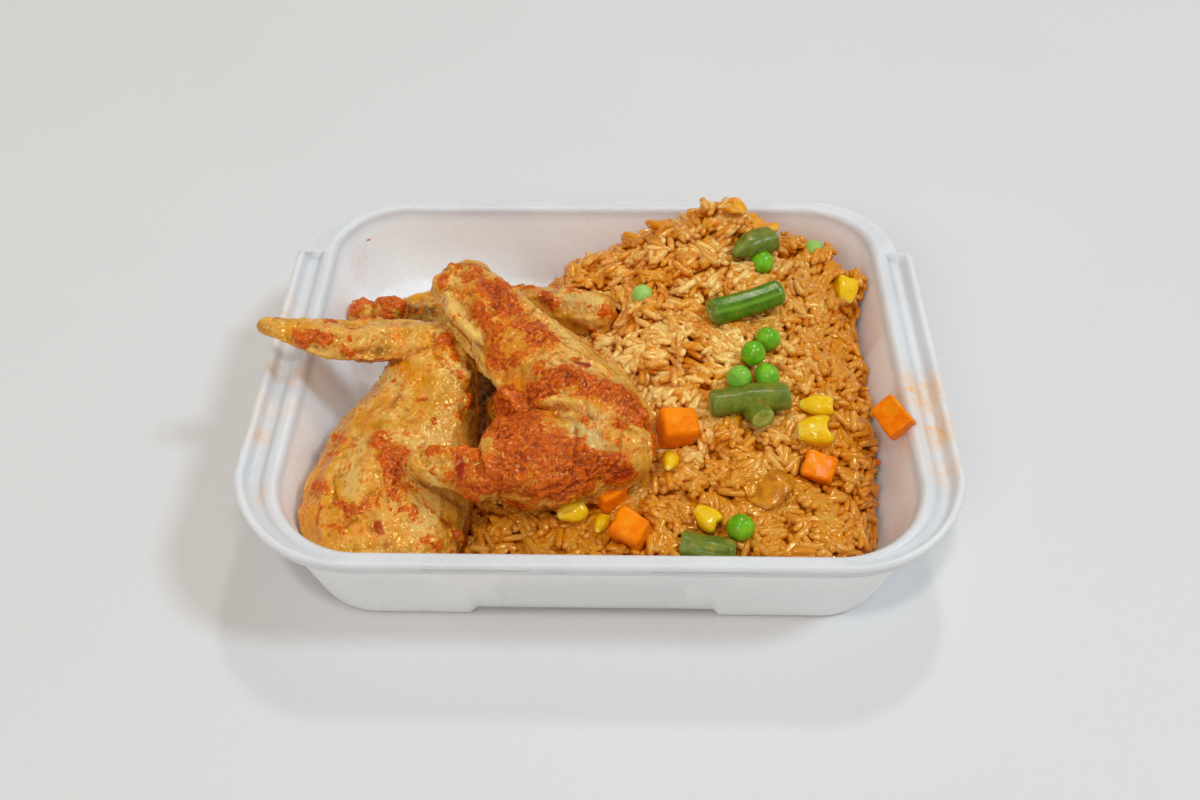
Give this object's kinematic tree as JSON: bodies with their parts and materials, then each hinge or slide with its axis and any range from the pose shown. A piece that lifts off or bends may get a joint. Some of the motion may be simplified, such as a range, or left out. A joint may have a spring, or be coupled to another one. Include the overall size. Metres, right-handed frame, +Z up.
{
  "type": "jollof rice meal",
  "caption": "Jollof rice meal with fried chicken wings, peas, green beans, sweetcorn and carrot in an open white foam takeaway box.",
  "frame": {"origin": "on the table under the middle of the foam box", "axes": "+X to the right along the box's long side, +Y to its hinge side at the back, +Z up"},
  "size_m": [0.232, 0.1709, 0.0636],
  "materials": {
    "foam": "bead-moulded foam, satin",
    "rice": "oily cooked grains",
    "chicken_skin": "roasted skin, wet",
    "chicken_sauced": "skin under granular red-orange sauce",
    "pea": "boiled, glossy",
    "corn": "boiled, glossy",
    "carrot": "boiled, cut faces",
    "bean": "boiled green bean",
    "pepper": "fried, oily",
    "onion": "fried, translucent"
  },
  "bodies": {
    "root": {"foam_box": "foam", "rice": "rice", "wing_left": "chicken_skin", "wing_right": "chicken_sauced", "wing_back": "chicken_sauced", "pea_1": "pea", "pea_2": "pea", "pea_3": "pea", "pea_4": "pea", "pea_5": "pea", "pea_6": "pea", "pea_7": "pea", "pea_8": "pea", "corn_1": "corn", "corn_2": "corn", "corn_3": "corn", "corn_4": "corn", "corn_5": "corn", "corn_6": "corn", "corn_7": "corn", "carrot_1": "carrot", "carrot_2": "carrot", "carrot_3": "carrot", "carrot_4": "carrot", "carrot_5": "carrot", "bean_1": "bean", "bean_2": "bean", "bean_3": "bean", "bean_4": "bean", "bean_5": "bean", "pepper_1": "pepper", "pepper_2": "pepper", "onion_1": "onion"}
  },
  "joints": []
}
